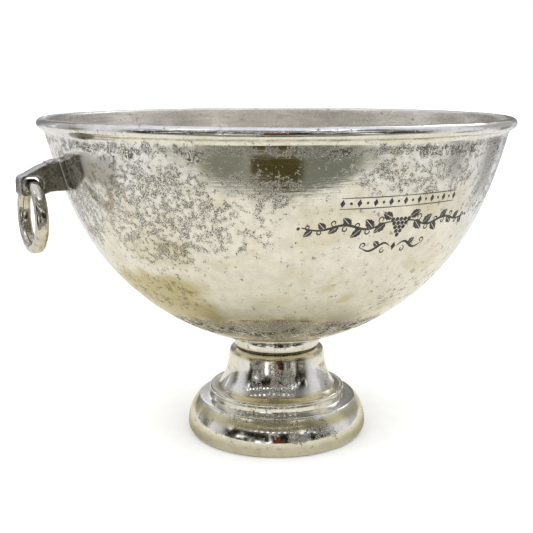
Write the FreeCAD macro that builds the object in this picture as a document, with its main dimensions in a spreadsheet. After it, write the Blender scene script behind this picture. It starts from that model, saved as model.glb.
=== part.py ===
import FreeCAD, Part
import Sketcher
import os
from math import atan2, hypot, sqrt

# A footed champagne bowl in nickel-plated cast aluminium: a deep bowl with a beaded rim, a turned
# pedestal foot bolted on from below, and two cast brackets that each carry a loose ring.
# Millimetres. +Z is up, the foot rests on z = 0, the bowl's axis is Z and the handles lie on the X axis.

SHEET = "Dimensions"

DIMENSIONS = {
    # bowl: a lower arc and a flatter upper arc that share one tangent, and a round bead on top
    "arc_centre_r": -12.2,
    "arc_centre_z": 283.0,
    "arc_radius": 201.4,
    "blend_slope": 68.0,
    "upper_radius": 406.0,
    "wall": 4.0,
    "wall_top_z": 266.6,
    "bead_centre_r": 195.5,
    "bead_centre_z": 275.5,
    "bead_radius": 4.5,
    "bead_foot_r": 197.2,
    "cove_radius": 6.0,
    "lip_inner_z": 277.8,
    "floor_z": 88.6,
    # boss under the bowl
    "seat_z": 78.2,
    "neck_radius": 35.5,
    "collar_bottom_z": 80.4,
    "collar_edge_r": 36.6,
    "collar_bulge": 4.2,
    "spigot_radius": 12.0,
    "spigot_drop": 3.0,
    "tapped_radius": 4.05,
    "tapped_top_z": 85.0,
    # foot, outside
    "rest_inner_r": 70.0,
    "rest_outer_r": 75.1,
    "belly_r": 79.5,
    "belly_z": 8.0,
    "heel_radius": 9.5,
    "dome_radius": 34.0,
    "dome_top_r": 69.7,
    "dome_top_z": 32.0,
    "ridge_r": 59.4,
    "ridge_bottom_z": 32.9,
    "ridge_face_z": 37.2,
    "ridge_top_r": 56.6,
    "ridge_top_z": 40.9,
    "ridge_round": 3.8,
    "stem_foot_r": 52.0,
    "stem_foot_z": 42.5,
    "stem_cove_radius": 47.0,
    "stem_waist_r": 43.2,
    "stem_waist_z": 64.0,
    "stem_top_r": 42.0,
    "stem_top_z": 72.6,
    "shoulder_r": 39.2,
    "shoulder_z": 76.6,
    "shoulder_round": 4.2,
    # foot, inside
    "recess_gap": 0.15,
    "recess_depth": 3.2,
    "web_bottom_z": 68.0,
    "bolt_hole_r": 4.5,
    "cavity_top_r": 33.0,
    "cavity_waist_r": 38.6,
    "cavity_waist_z": 60.0,
    "cavity_neck_r": 46.0,
    "cavity_neck_z": 39.0,
    "cavity_step_r": 54.0,
    "cavity_step_z": 28.0,
    "cavity_dome_r": 64.0,
    "cavity_side_r": 71.5,
    "cavity_side_z": 14.0,
    "cavity_dome_radius": 20.0,
    # bolt that holds the foot, with its two washers
    "bolt_radius": 4.0,
    "bolt_length": 20.0,
    "bolt_head_height": 5.3,
    "bolt_head_corner_r": 7.5,
    "plate_washer_r": 14.0,
    "plate_washer_hole_r": 4.2,
    "plate_washer_thick": 2.0,
    "spring_washer_r": 7.4,
    "spring_washer_thick": 2.0,
    "spring_washer_gap": 1.6,
    # brackets
    "bracket_bottom_z": 226.8,
    "bracket_top_z": 249.8,
    "plate_width": 17.0,
    "plate_top_r": 194.2,
    "plate_low_r": 188.6,
    "plate_low_z": 231.2,
    "plate_toe_r": 184.6,
    "plate_toe_z": 227.6,
    "plate_toe_round": 5.0,
    "arm_width": 13.0,
    "arm_level_r": 198.0,
    "arm_slope_r": 208.0,
    "arm_slope_z": 246.3,
    "arm_end_top_r": 219.6,
    "arm_end_top_z": 240.4,
    "arm_end_r": 223.8,
    "arm_end_z": 236.4,
    "arm_end_round": 4.4,
    "arm_tip_low_z": 227.4,
    "arm_tip_r": 220.4,
    "arm_tip_z": 224.0,
    "arm_tip_round": 3.6,
    "arm_web_r": 207.0,
    "arm_root_r": 199.5,
    "arm_root_z": 226.6,
    "eye_r": 213.5,
    "eye_z": 232.5,
    "eye_width": 15.0,
    "eye_height": 12.3,
    "eye_round": 5.6,
    "bracket_edge_round": 0.9,
    # rings
    "ring_mean_radius": 24.2,
    "ring_bar_width": 10.0,
    "ring_bar_height": 8.5,
    "ring_bar_round": 3.6,
    "ring_pivot_r": 213.5,
    "ring_pivot_z": 232.6,
    # screws that hold the brackets, driven from inside the bowl, square to the sloping wall
    "screw_seat_r": 182.1,
    "screw_seat_z": 239.2,
    "screw_tilt": 17.4,
    "screw_offset": 6.2,
    "screw_radius": 2.0,
    "screw_length": 16.0,
    "screw_tapped_r": 2.05,
    "screw_tapped_depth": 17.0,
    "screw_clearance_r": 2.25,
    "screw_head_r": 3.9,
    "screw_head_height": 2.6,
    "screw_slot_width": 1.1,
    "screw_slot_depth": 1.3,
    "seal_radius": 4.7,
    "seal_hole_r": 2.15,
    "seal_thick": 1.2,
    "spot_face_r": 5.4,
    "spot_face_reach": 2.5,
}

AXIS = "0"


def dim(alias):
    """Expression for one cell of the sheet."""
    return f"{SHEET}.{alias}"


def make_sheet(doc):
    sheet = doc.addObject("Spreadsheet::Sheet", SHEET)
    for row, (alias, value) in enumerate(DIMENSIONS.items(), start=1):
        sheet.set(f"A{row}", alias)
        sheet.set(f"B{row}", str(value))
        sheet.setAlias(f"B{row}", alias)
    doc.recompute()
    return sheet


# ---- expressions for the bowl's wall -------------------------------------------------------------

def lower_arc_z(radius, inset="0"):
    """Height of the bowl's lower arc at a radius, the arc moved inwards by the inset."""
    reach = f"({dim('arc_radius')} - {inset})"
    return f"{dim('arc_centre_z')} - sqrt({reach}^2 - ({radius} - {dim('arc_centre_r')})^2)"


def lower_arc_r(height, inset="0"):
    """Radius of the bowl's lower arc at a height, the arc moved inwards by the inset."""
    reach = f"({dim('arc_radius')} - {inset})"
    return f"{dim('arc_centre_r')} + sqrt({reach}^2 - ({dim('arc_centre_z')} - ({height}))^2)"


def blend_point(inset="0"):
    """Where the lower arc meets the upper one."""
    reach = f"({dim('arc_radius')} - {inset})"
    radius = f"{dim('arc_centre_r')} + {reach} * sin({dim('blend_slope')})"
    height = f"{dim('arc_centre_z')} - {reach} * cos({dim('blend_slope')})"
    return radius, height


def upper_arc_r(height, inset="0"):
    """Radius of the upper wall at a height; its centre lies on the shared normal at the blend."""
    spread = f"({dim('upper_radius')} - {dim('arc_radius')})"
    centre_r = f"({dim('arc_centre_r')} - {spread} * sin({dim('blend_slope')}))"
    centre_z = f"({dim('arc_centre_z')} + {spread} * cos({dim('blend_slope')}))"
    return f"{centre_r} + sqrt(({dim('upper_radius')} - {inset})^2 - ({centre_z} - ({height}))^2)"


# ---- sketches -------------------------------------------------------------------------------------

def origin_plane(body, role):
    return next(item for item in body.Origin.OriginFeatures if item.Role == role)


def arc_between(start, end, radius, turn):
    """The short arc from start to end that turns left (turn 1) or right (turn -1)."""
    chord_x, chord_y = end[0] - start[0], end[1] - start[1]
    chord = hypot(chord_x, chord_y)
    height = turn * sqrt(max(radius * radius - chord * chord / 4, 0.0))
    centre_x = (start[0] + end[0]) / 2 - height * chord_y / chord
    centre_y = (start[1] + end[1]) / 2 + height * chord_x / chord
    first, last = (start, end) if turn > 0 else (end, start)
    circle = Part.Circle(FreeCAD.Vector(centre_x, centre_y, 0), FreeCAD.Vector(0, 0, 1), radius)
    first_angle = atan2(first[1] - centre_y, first[0] - centre_x)
    last_angle = atan2(last[1] - centre_y, last[0] - centre_x)
    return Part.ArcOfCircle(circle, first_angle, last_angle)


def bind(sketch, kind, arguments, expression, guess):
    """Add a dimension to the sketch and bind it to an expression."""
    index = sketch.addConstraint(Sketcher.Constraint(kind, *arguments, guess))
    sketch.setExpression(f"Constraints[{index}]", expression)


def closed_outline(body, name, corners):
    """Draw a closed outline in the body's XZ plane.

    A corner is (x, z), or (x, z, radius, turn) when an arc leads from it to the next corner;
    x, z and radius are expressions, and turn is 1 for a left-hand arc and -1 for a right-hand one.
    """
    sketch = body.newObject("Sketcher::SketchObject", name)
    sketch.AttachmentSupport = [(origin_plane(body, "XZ_Plane"), "")]
    sketch.MapMode = "FlatFace"
    points = [(float(body.evalExpression(c[0])), float(body.evalExpression(c[1]))) for c in corners]
    ends = []
    for index, corner in enumerate(corners):
        start, end = points[index], points[(index + 1) % len(points)]
        if len(corner) == 2:
            line = Part.LineSegment(FreeCAD.Vector(*start, 0), FreeCAD.Vector(*end, 0))
            ends.append((sketch.addGeometry(line, False), 1, 2))
        else:
            radius = float(body.evalExpression(corner[2]))
            arc = sketch.addGeometry(arc_between(start, end, radius, corner[3]), False)
            ends.append((arc, 1, 2) if corner[3] > 0 else (arc, 2, 1))
            bind(sketch, "Radius", (arc,), corner[2], radius)
    for index, (piece, first, _) in enumerate(ends):
        before, _, last = ends[index - 1]
        sketch.addConstraint(Sketcher.Constraint("Coincident", before, last, piece, first))
        x_expression, z_expression = corners[index][:2]
        if x_expression == AXIS:
            sketch.addConstraint(Sketcher.Constraint("PointOnObject", piece, first, -2))
        else:
            bind(sketch, "DistanceX", (-1, 1, piece, first), x_expression, points[index][0])
        if z_expression == "0":
            sketch.addConstraint(Sketcher.Constraint("PointOnObject", piece, first, -1))
        else:
            bind(sketch, "DistanceY", (-1, 1, piece, first), z_expression, points[index][1])
    sketch.Visibility = False
    return sketch


def turned(body, name, sketch, axis="V_Axis"):
    """A full turn of the sketch about one of its axes."""
    feature = body.newObject("PartDesign::Revolution", name)
    feature.Profile = sketch
    feature.ReferenceAxis = (sketch, [axis])
    feature.Angle = 360
    return feature


def grooved(body, name, sketch, axis="V_Axis"):
    """A full turn of the sketch taken away from the body."""
    feature = body.newObject("PartDesign::Groove", name)
    feature.Profile = sketch
    feature.ReferenceAxis = (sketch, [axis])
    feature.Angle = 360
    return feature


def extruded(body, name, sketch, width, kind="PartDesign::Pad"):
    """The sketch extruded, or cut, evenly to both sides of its plane."""
    feature = body.newObject(kind, name)
    feature.Profile = sketch
    feature.SideType = "Symmetric"
    feature.setExpression("Length", width)
    return feature


def place(item, x="0", z="0", turned_about_z=0, tilt=None):
    """Put a sub-part at (x, 0, z), tilted about Y, and then turned about the bowl's axis."""
    turn = FreeCAD.Rotation(FreeCAD.Vector(0, 0, 1), turned_about_z)
    lean = FreeCAD.Rotation(FreeCAD.Vector(0, 1, 0), float(item.evalExpression(tilt)) if tilt else 0)
    item.Placement = FreeCAD.Placement(FreeCAD.Vector(0, 0, 0), turn * lean)
    side = -1 if turned_about_z == 180 else 1
    item.setExpression("Placement.Base.x", f"{side} * ({x})")
    item.setExpression("Placement.Base.z", z)


# ---- screw holes, shared by the bowl and the brackets ---------------------------------------------

def along_screw(distance, across):
    """A point in the XZ plane at a distance along the screws' axis and an offset across it."""
    tilt = dim("screw_tilt")
    x = f"{dim('screw_seat_r')} + ({distance}) * cos({tilt}) + ({across}) * sin({tilt})"
    z = f"{dim('screw_seat_z')} - ({distance}) * sin({tilt}) + ({across}) * cos({tilt})"
    return x, z


def drilled(body, name, side, first, last, radius):
    """Drill a round hole along one screw's axis between two distances from its seat."""
    middle = f"{side} * {dim('screw_offset')}"
    corners = [along_screw(first, middle),
               along_screw(last, middle),
               along_screw(last, f"{middle} + {radius}"),
               along_screw(first, f"{middle} + {radius}")]
    sketch = closed_outline(body, name + "_outline", corners)
    start, end = [FreeCAD.Vector(float(body.evalExpression(x)), float(body.evalExpression(z)), 0)
                  for x, z in corners[:2]]
    axis = sketch.addGeometry(Part.LineSegment(start, end), True)
    sketch.addConstraint(Sketcher.Constraint("Coincident", axis, 1, 0, 1))
    sketch.addConstraint(Sketcher.Constraint("Coincident", axis, 2, 0, 2))
    return grooved(body, name, sketch, "Axis0")


# ---- bowl -----------------------------------------------------------------------------------------

def make_bowl(doc):
    body = doc.addObject("PartDesign::Body", "bowl")
    outer_blend, inner_blend = blend_point(), blend_point(dim("wall"))
    bead_top_z = f"{dim('bead_centre_z')} + {dim('bead_radius')}"
    bead_foot_z = (f"{dim('bead_centre_z')} - sqrt({dim('bead_radius')}^2"
                   f" - ({dim('bead_foot_r')} - {dim('bead_centre_r')})^2)")
    bead_inner_r = (f"{dim('bead_centre_r')} - sqrt({dim('bead_radius')}^2"
                    f" - ({dim('lip_inner_z')} - {dim('bead_centre_z')})^2)")
    spigot_z = f"{dim('seat_z')} - {dim('spigot_drop')}"
    inner_radius = f"{dim('arc_radius')} - {dim('wall')}"
    inner_upper_radius = f"{dim('upper_radius')} - {dim('wall')}"
    section = closed_outline(body, "bowl_section", [
        (dim("tapped_radius"), spigot_z),
        (dim("spigot_radius"), spigot_z),
        (dim("spigot_radius"), dim("seat_z")),
        (dim("neck_radius"), dim("seat_z")),
        (dim("neck_radius"), dim("collar_bottom_z")),
        (dim("collar_edge_r"), dim("collar_bottom_z"), dim("collar_bulge"), 1),
        (dim("collar_edge_r"), lower_arc_z(dim("collar_edge_r")), dim("arc_radius"), 1),
        (*outer_blend, dim("upper_radius"), 1),
        (upper_arc_r(dim("wall_top_z")), dim("wall_top_z"), dim("cove_radius"), -1),
        (dim("bead_foot_r"), bead_foot_z, dim("bead_radius"), 1),
        (dim("bead_centre_r"), bead_top_z, dim("bead_radius"), 1),
        (bead_inner_r, dim("lip_inner_z"), inner_upper_radius, -1),
        (*inner_blend, inner_radius, -1),
        (lower_arc_r(dim("floor_z"), dim("wall")), dim("floor_z")),
        (AXIS, dim("floor_z")),
        (AXIS, dim("tapped_top_z")),
        (dim("tapped_radius"), dim("tapped_top_z")),
    ])
    turned(body, "bowl_turned", section)
    doc.recompute()
    before = body.Shape.Volume
    holes = []
    for side in (-1, 1):
        name = "lower" if side < 0 else "upper"
        seat = f"-{dim('spot_face_reach')}"
        holes.append(drilled(body, f"{name}_spot_face", side, seat, "0", dim("spot_face_r")))
        holes.append(drilled(body, f"{name}_screw_hole", side, "-1", "2.5 * " + dim("wall"),
                             dim("screw_clearance_r")))
    pattern = body.newObject("PartDesign::PolarPattern", "both_sides")
    pattern.Originals = holes
    pattern.Axis = (section, ["V_Axis"])
    pattern.Angle = 360
    pattern.Occurrences = 2
    body.Tip = pattern
    doc.recompute()
    must_cut(body, before)
    return body


# ---- foot and its fastening -----------------------------------------------------------------------

def make_foot(doc):
    body = doc.addObject("PartDesign::Body", "foot")
    recess_r = f"{dim('spigot_radius')} + {dim('recess_gap')}"
    recess_z = f"{dim('seat_z')} - {dim('recess_depth')}"
    section = closed_outline(body, "foot_section", [
        (dim("rest_inner_r"), "0"),
        (dim("rest_outer_r"), "0", dim("heel_radius"), 1),
        (dim("belly_r"), dim("belly_z"), dim("dome_radius"), 1),
        (dim("dome_top_r"), dim("dome_top_z")),
        (dim("ridge_r"), dim("ridge_bottom_z")),
        (dim("ridge_r"), dim("ridge_face_z"), dim("ridge_round"), 1),
        (dim("ridge_top_r"), dim("ridge_top_z")),
        (dim("stem_foot_r"), dim("stem_foot_z"), dim("stem_cove_radius"), -1),
        (dim("stem_waist_r"), dim("stem_waist_z")),
        (dim("stem_top_r"), dim("stem_top_z"), dim("shoulder_round"), 1),
        (dim("shoulder_r"), dim("shoulder_z")),
        (dim("neck_radius"), dim("seat_z")),
        (recess_r, dim("seat_z")),
        (recess_r, recess_z),
        (dim("bolt_hole_r"), recess_z),
        (dim("bolt_hole_r"), dim("web_bottom_z")),
        (dim("cavity_top_r"), dim("web_bottom_z")),
        (dim("cavity_waist_r"), dim("cavity_waist_z")),
        (dim("cavity_neck_r"), dim("cavity_neck_z")),
        (dim("cavity_step_r"), dim("cavity_step_z")),
        (dim("cavity_dome_r"), dim("cavity_step_z"), dim("cavity_dome_radius"), -1),
        (dim("cavity_side_r"), dim("cavity_side_z")),
    ])
    turned(body, "foot_turned", section)
    return body


def cylinder(doc, name, radius, height, base_z="0"):
    item = doc.addObject("Part::Cylinder", name)
    item.setExpression("Radius", radius)
    item.setExpression("Height", height)
    item.setExpression("Placement.Base.z", base_z)
    return item


def box(doc, name, size, corner):
    item = doc.addObject("Part::Box", name)
    for field, expression in zip(("Length", "Width", "Height"), size):
        item.setExpression(field, expression)
    for field, expression in zip("xyz", corner):
        item.setExpression(f"Placement.Base.{field}", expression)
    return item


def joined(doc, name, first, second):
    item = doc.addObject("Part::Fuse", name)
    item.Base = first
    item.Tool = second
    return item


def cut(doc, name, base, tool):
    item = doc.addObject("Part::Cut", name)
    item.Base = base
    item.Tool = tool
    return item


def make_foot_bolt(doc):
    """Hexagon bolt, head down, its underside against the spring washer."""
    head = doc.addObject("Part::Prism", "foot_bolt_head")
    head.Polygon = 6
    head.setExpression("Circumradius", dim("bolt_head_corner_r"))
    head.setExpression("Height", dim("bolt_head_height"))
    shank = cylinder(doc, "foot_bolt_shank", dim("bolt_radius"), dim("bolt_length"),
                     dim("bolt_head_height"))
    bolt = joined(doc, "foot_bolt", head, shank)
    stack = f"{dim('plate_washer_thick')} + {dim('spring_washer_thick')} + {dim('bolt_head_height')}"
    place(bolt, z=f"{dim('web_bottom_z')} - ({stack})")
    return bolt


def make_foot_washers(doc):
    """A wide plate washer against the foot's web and a split spring washer below it."""
    plate = cut(doc, "foot_plate_washer",
                cylinder(doc, "plate_washer_disc", dim("plate_washer_r"), dim("plate_washer_thick")),
                cylinder(doc, "plate_washer_hole", dim("plate_washer_hole_r"), dim("plate_washer_thick")))
    place(plate, z=f"{dim('web_bottom_z')} - {dim('plate_washer_thick')}")
    disc = cut(doc, "spring_washer_disc",
               cylinder(doc, "spring_washer_outer", dim("spring_washer_r"), dim("spring_washer_thick")),
               cylinder(doc, "spring_washer_hole", dim("plate_washer_hole_r"), dim("spring_washer_thick")))
    gap = box(doc, "spring_washer_split",
              (dim("spring_washer_r"), dim("spring_washer_gap"), dim("spring_washer_thick")),
              ("0", f"-{dim('spring_washer_gap')} / 2", "0"))
    spring = cut(doc, "foot_spring_washer", disc, gap)
    place(spring, z=f"{dim('web_bottom_z')} - {dim('plate_washer_thick')} - {dim('spring_washer_thick')}")
    return [plate, spring]


# ---- handles --------------------------------------------------------------------------------------

def eye_corners():
    """The eye that the ring hangs in: a rounded rectangle."""
    return rounded_rectangle(dim("eye_r"), dim("eye_z"), dim("eye_width"), dim("eye_height"),
                             dim("eye_round"))


def rounded_rectangle(x, z, width, height, radius):
    """Eight corners, anticlockwise from the lower edge's left end."""
    left, right = f"{x} - {width} / 2", f"{x} + {width} / 2"
    low, high = f"{z} - {height} / 2", f"{z} + {height} / 2"
    return [
        (f"{left} + {radius}", low), (f"{right} - {radius}", low, radius, 1),
        (right, f"{low} + {radius}"), (right, f"{high} - {radius}", radius, 1),
        (f"{right} - {radius}", high), (f"{left} + {radius}", high, radius, 1),
        (left, f"{high} - {radius}"), (left, f"{low} + {radius}", radius, 1),
    ]


def make_bracket(doc, label, turn):
    """Cast bracket: a plate that follows the wall, and an arm with the eye at its end."""
    body = doc.addObject("PartDesign::Body", label)
    inside_r = f"{dim('screw_seat_r')} - 4"
    plate = closed_outline(body, label + "_plate_outline", [
        (inside_r, dim("bracket_bottom_z")),
        (dim("plate_toe_r"), dim("plate_toe_z"), dim("plate_toe_round"), 1),
        (dim("plate_low_r"), dim("plate_low_z")),
        (dim("plate_top_r"), dim("bracket_top_z")),
        (inside_r, dim("bracket_top_z")),
    ])
    extruded(body, label + "_plate", plate, dim("plate_width"))
    arm = closed_outline(body, label + "_arm_outline", [
        (inside_r, dim("bracket_bottom_z")),
        (dim("arm_root_r"), dim("arm_root_z")),
        (dim("arm_web_r"), dim("arm_tip_z")),
        (dim("arm_tip_r"), dim("arm_tip_z"), dim("arm_tip_round"), 1),
        (dim("arm_end_r"), dim("arm_tip_low_z")),
        (dim("arm_end_r"), dim("arm_end_z"), dim("arm_end_round"), 1),
        (dim("arm_end_top_r"), dim("arm_end_top_z")),
        (dim("arm_slope_r"), dim("arm_slope_z")),
        (dim("arm_level_r"), dim("bracket_top_z")),
        (inside_r, dim("bracket_top_z")),
    ])
    extruded(body, label + "_arm", arm, dim("arm_width"))
    doc.recompute()
    before = body.Shape.Volume
    eye = closed_outline(body, label + "_eye_outline", eye_corners())
    extruded(body, label + "_eye", eye, f"2 * {dim('plate_width')}", "PartDesign::Pocket")
    doc.recompute()
    must_cut(body, before)
    soften(body, label + "_soft_edges")
    doc.recompute()
    before = body.Shape.Volume
    below, above = f"{dim('bracket_bottom_z')} - 6", f"{dim('bracket_top_z')} + 6"
    wall = closed_outline(body, label + "_wall_outline", [
        (upper_arc_r(below), below, dim("upper_radius"), 1),
        (upper_arc_r(above), above),
        (f"{inside_r} - 20", above),
        (f"{inside_r} - 20", below),
    ])
    grooved(body, label + "_wall_fit", wall)
    doc.recompute()
    must_cut(body, before)
    for side in (-1, 1):
        before = body.Shape.Volume
        drilled(body, f"{label}_tapped_{'lower' if side < 0 else 'upper'}", side, "0",
                dim("screw_tapped_depth"), dim("screw_tapped_r"))
        doc.recompute()
        must_cut(body, before)
    place(body, turned_about_z=turn)
    return body


def soften(body, name):
    """Round the long edges on both sides of the arm."""
    half_width = float(body.evalExpression(dim("arm_width"))) / 2
    clear_of_plate = float(body.evalExpression(dim("plate_top_r")))
    edges = []
    for index, edge in enumerate(body.Shape.Edges, start=1):
        extent = edge.BoundBox
        flat = extent.YLength < 1e-4 and abs(abs(extent.Center.y) - half_width) < 1e-4
        if flat and extent.Center.x > clear_of_plate and extent.XMin > clear_of_plate:
            edges.append(f"Edge{index}")
    sharp = body.Tip
    fillet = body.newObject("PartDesign::Fillet", name)
    fillet.Base = (sharp, edges)
    fillet.setExpression("Radius", dim("bracket_edge_round"))


def make_ring(doc, label, turn):
    """Loose ring: a rounded bar turned about the ring's own axis, hanging from the eye."""
    body = doc.addObject("PartDesign::Body", label)
    section = closed_outline(body, label + "_section", rounded_rectangle(
        "0", dim("ring_mean_radius"), dim("ring_bar_width"), dim("ring_bar_height"),
        dim("ring_bar_round")))
    turned(body, label + "_turned", section, "H_Axis")
    place(body, dim("ring_pivot_r"), f"{dim('ring_pivot_z')} - {dim('ring_mean_radius')}", turn)
    return body


def pair_on_wall(doc, label, pieces, turn):
    """Group two fasteners as one node, their common axis square to the bowl's sloping wall."""
    group = doc.addObject("Part::Compound", label)
    group.Links = pieces
    place(group, dim("screw_seat_r"), dim("screw_seat_z"), turn, tilt=f"90 + {dim('screw_tilt')}")
    return group


def make_screws(doc, label, turn):
    """Two slotted screws; each points along +Z from the seat and sits off to one side along X."""
    pieces = []
    for side in (-1, 1):
        name = f"{label}_{'upper' if side < 0 else 'lower'}"
        shank = cylinder(doc, name + "_shank", dim("screw_radius"), dim("screw_length"))
        head = cylinder(doc, name + "_head", dim("screw_head_r"), dim("screw_head_height"),
                        f"-{dim('seal_thick')} - {dim('screw_head_height')}")
        neck = cylinder(doc, name + "_neck", dim("screw_radius"), dim("seal_thick"),
                        f"-{dim('seal_thick')}")
        slot = box(doc, name + "_slot",
                   (f"2 * {dim('screw_head_r')}", dim("screw_slot_width"), dim("screw_slot_depth")),
                   (f"-{dim('screw_head_r')}", f"-{dim('screw_slot_width')} / 2",
                    f"-{dim('seal_thick')} - {dim('screw_head_height')}"))
        stem = joined(doc, name + "_stem", shank, neck)
        blank = joined(doc, name + "_blank", stem, head)
        screw = cut(doc, name, blank, slot)
        screw.setExpression("Placement.Base.x", f"{side} * {dim('screw_offset')}")
        pieces.append(screw)
    return pair_on_wall(doc, label, pieces, turn)


def make_seals(doc, label, turn):
    """Two rubber sealing washers between the screw heads and the wall."""
    pieces = []
    for side in (-1, 1):
        name = f"{label}_{'upper' if side < 0 else 'lower'}"
        disc = cylinder(doc, name + "_disc", dim("seal_radius"), dim("seal_thick"),
                        f"-{dim('seal_thick')}")
        hole = cylinder(doc, name + "_hole", dim("seal_hole_r"), dim("seal_thick"),
                        f"-{dim('seal_thick')}")
        seal = cut(doc, name, disc, hole)
        seal.setExpression("Placement.Base.x", f"{side} * {dim('screw_offset')}")
        pieces.append(seal)
    return pair_on_wall(doc, label, pieces, turn)


# ---- checks and output ----------------------------------------------------------------------------

def must_cut(body, volume_before):
    if body.Shape.Volume > volume_before - 1:
        raise RuntimeError(f"{body.Label}: {body.Tip.Label} takes nothing away")


def check(doc, nodes):
    failed = [item.Name for item in doc.Objects if {"Invalid", "Error"} & set(item.State)]
    if failed:
        raise RuntimeError("failed objects: " + ", ".join(failed))
    for node in nodes:
        if node.Shape.isNull() or not node.Shape.isValid():
            raise RuntimeError(f"{node.Label}: the shape is not valid")
        print(f"{node.Label:26s} solids {len(node.Shape.Solids)}  volume {node.Shape.Volume:11.1f} mm3")


def main():
    doc = FreeCAD.newDocument("champagne_bowl")
    make_sheet(doc)
    nodes = [make_bowl(doc), make_foot(doc), make_foot_bolt(doc), *make_foot_washers(doc)]
    for side, turn in (("right", 0), ("left", 180)):
        nodes.append(make_bracket(doc, f"handle_bracket_{side}", turn))
        nodes.append(make_ring(doc, f"handle_ring_{side}", turn))
        nodes.append(make_screws(doc, f"bracket_screws_{side}", turn))
        nodes.append(make_seals(doc, f"bracket_seals_{side}", turn))
    doc.recompute()
    check(doc, nodes)
    os.makedirs("parts", exist_ok=True)
    for node in nodes:
        node.Shape.exportStep(f"parts/{node.Label}.step")


main()
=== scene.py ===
"""Looks of the footed champagne bowl: cast shells, worn nickel plating, a plain studio.

Lengths named *_MM and all outlines are in millimetres and are brought to metres by MM. Angles are in
degrees unless a comment says otherwise. Azimuth 0 is the object's front, -Y, and grows towards +X.
"""
import math

import bpy
from mathutils import Matrix, Vector, noise


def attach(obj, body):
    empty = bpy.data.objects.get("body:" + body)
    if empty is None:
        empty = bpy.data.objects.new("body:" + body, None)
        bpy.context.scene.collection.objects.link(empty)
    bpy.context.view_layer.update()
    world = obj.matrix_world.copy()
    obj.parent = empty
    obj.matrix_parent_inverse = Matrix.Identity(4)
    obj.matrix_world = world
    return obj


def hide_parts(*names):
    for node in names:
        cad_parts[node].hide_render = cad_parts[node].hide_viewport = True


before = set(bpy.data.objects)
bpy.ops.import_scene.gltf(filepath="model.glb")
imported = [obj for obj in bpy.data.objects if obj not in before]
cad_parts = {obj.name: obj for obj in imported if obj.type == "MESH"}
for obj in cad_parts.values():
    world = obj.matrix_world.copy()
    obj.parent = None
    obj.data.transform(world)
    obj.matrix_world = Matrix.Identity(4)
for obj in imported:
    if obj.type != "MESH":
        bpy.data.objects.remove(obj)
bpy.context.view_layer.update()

MM = 0.001
VESSEL, RIGHT_RING, LEFT_RING = "vessel", "right_ring", "left_ring"

# ---- camera and studio ----------------------------------------------------------------------------

CAMERA_AZIMUTH = -30.0
CAMERA_DISTANCE_MM = 813.0
CAMERA_HEIGHT_MM = 312.5
CAMERA_PITCH = 11.45
CAMERA_LENS_MM = 63.49
CAMERA_SHIFT_X = -0.019


def make_camera():
    """Stands at CAMERA_AZIMUTH and looks down by CAMERA_PITCH."""
    data = bpy.data.cameras.new("camera")
    data.lens = CAMERA_LENS_MM
    data.sensor_width = 36.0
    data.shift_x = CAMERA_SHIFT_X
    data.clip_start = 0.02
    data.clip_end = 100.0
    camera = bpy.data.objects.new("camera", data)
    azimuth = math.radians(CAMERA_AZIMUTH)
    reach = CAMERA_DISTANCE_MM * MM
    camera.location = (reach * math.sin(azimuth), -reach * math.cos(azimuth), CAMERA_HEIGHT_MM * MM)
    camera.rotation_euler = (math.radians(90 - CAMERA_PITCH), 0, azimuth)
    bpy.context.scene.collection.objects.link(camera)
    bpy.context.scene.camera = camera


class Nodes:
    """A short way to write shader nodes: every call adds one node and returns an output socket."""

    def __init__(self, tree):
        self.tree = tree
        self.tree.nodes.clear()

    def add(self, kind, inputs=(), output=0, **settings):
        node = self.tree.nodes.new(kind)
        for key, value in settings.items():
            setattr(node, key, value)
        items = inputs.items() if isinstance(inputs, dict) else enumerate(inputs)
        for key, value in items:
            if isinstance(value, bpy.types.NodeSocket):
                self.tree.links.new(value, node.inputs[key])
            else:
                node.inputs[key].default_value = value
        return node.outputs[output]

    def math(self, operation, *values, clamp=False):
        return self.add("ShaderNodeMath", values, operation=operation, use_clamp=clamp)

    def step(self, value, low, high, to_low=0.0, to_high=1.0):
        """Smooth step from to_low at low to to_high at high."""
        return self.add("ShaderNodeMapRange", {"Value": value, "From Min": low, "From Max": high,
                                               "To Min": to_low, "To Max": to_high},
                        interpolation_type="SMOOTHSTEP")

    def mix(self, factor, first, second):
        """Blend two colours."""
        return self.add("ShaderNodeMix", {0: factor, 6: first, 7: second}, output=2, data_type="RGBA")

    def split(self, vector):
        """The vector's x, y and z sockets."""
        node = self.tree.nodes.new("ShaderNodeSeparateXYZ")
        self.tree.links.new(vector, node.inputs[0])
        return node.outputs

    def finish(self, shader, kind="ShaderNodeOutputMaterial"):
        self.tree.links.new(shader, self.tree.nodes.new(kind).inputs["Surface"])

    def attribute(self, name):
        return self.add("ShaderNodeAttribute", output="Fac", attribute_name=name)

    def scaled(self, vector, scale):
        return self.add("ShaderNodeVectorMath", (vector, scale), operation="MULTIPLY")

    def noise(self, vector, scale, detail=2.0, roughness=0.5, distortion=0.0):
        return self.add("ShaderNodeTexNoise", {"Vector": vector, "Scale": scale, "Detail": detail,
                                               "Roughness": roughness, "Distortion": distortion})

    def ramp(self, value, stops):
        """Colours eased between stops of (position, colour)."""
        node = self.tree.nodes.new("ShaderNodeValToRGB")
        node.color_ramp.interpolation = "EASE"
        elements = node.color_ramp.elements
        while len(elements) < len(stops):
            elements.new(0.5)
        for element, (position, color) in zip(elements, stops):
            element.position = position
            element.color = (*color, 1.0)
        self.tree.links.new(value, node.inputs[0])
        return node.outputs[0]


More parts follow.
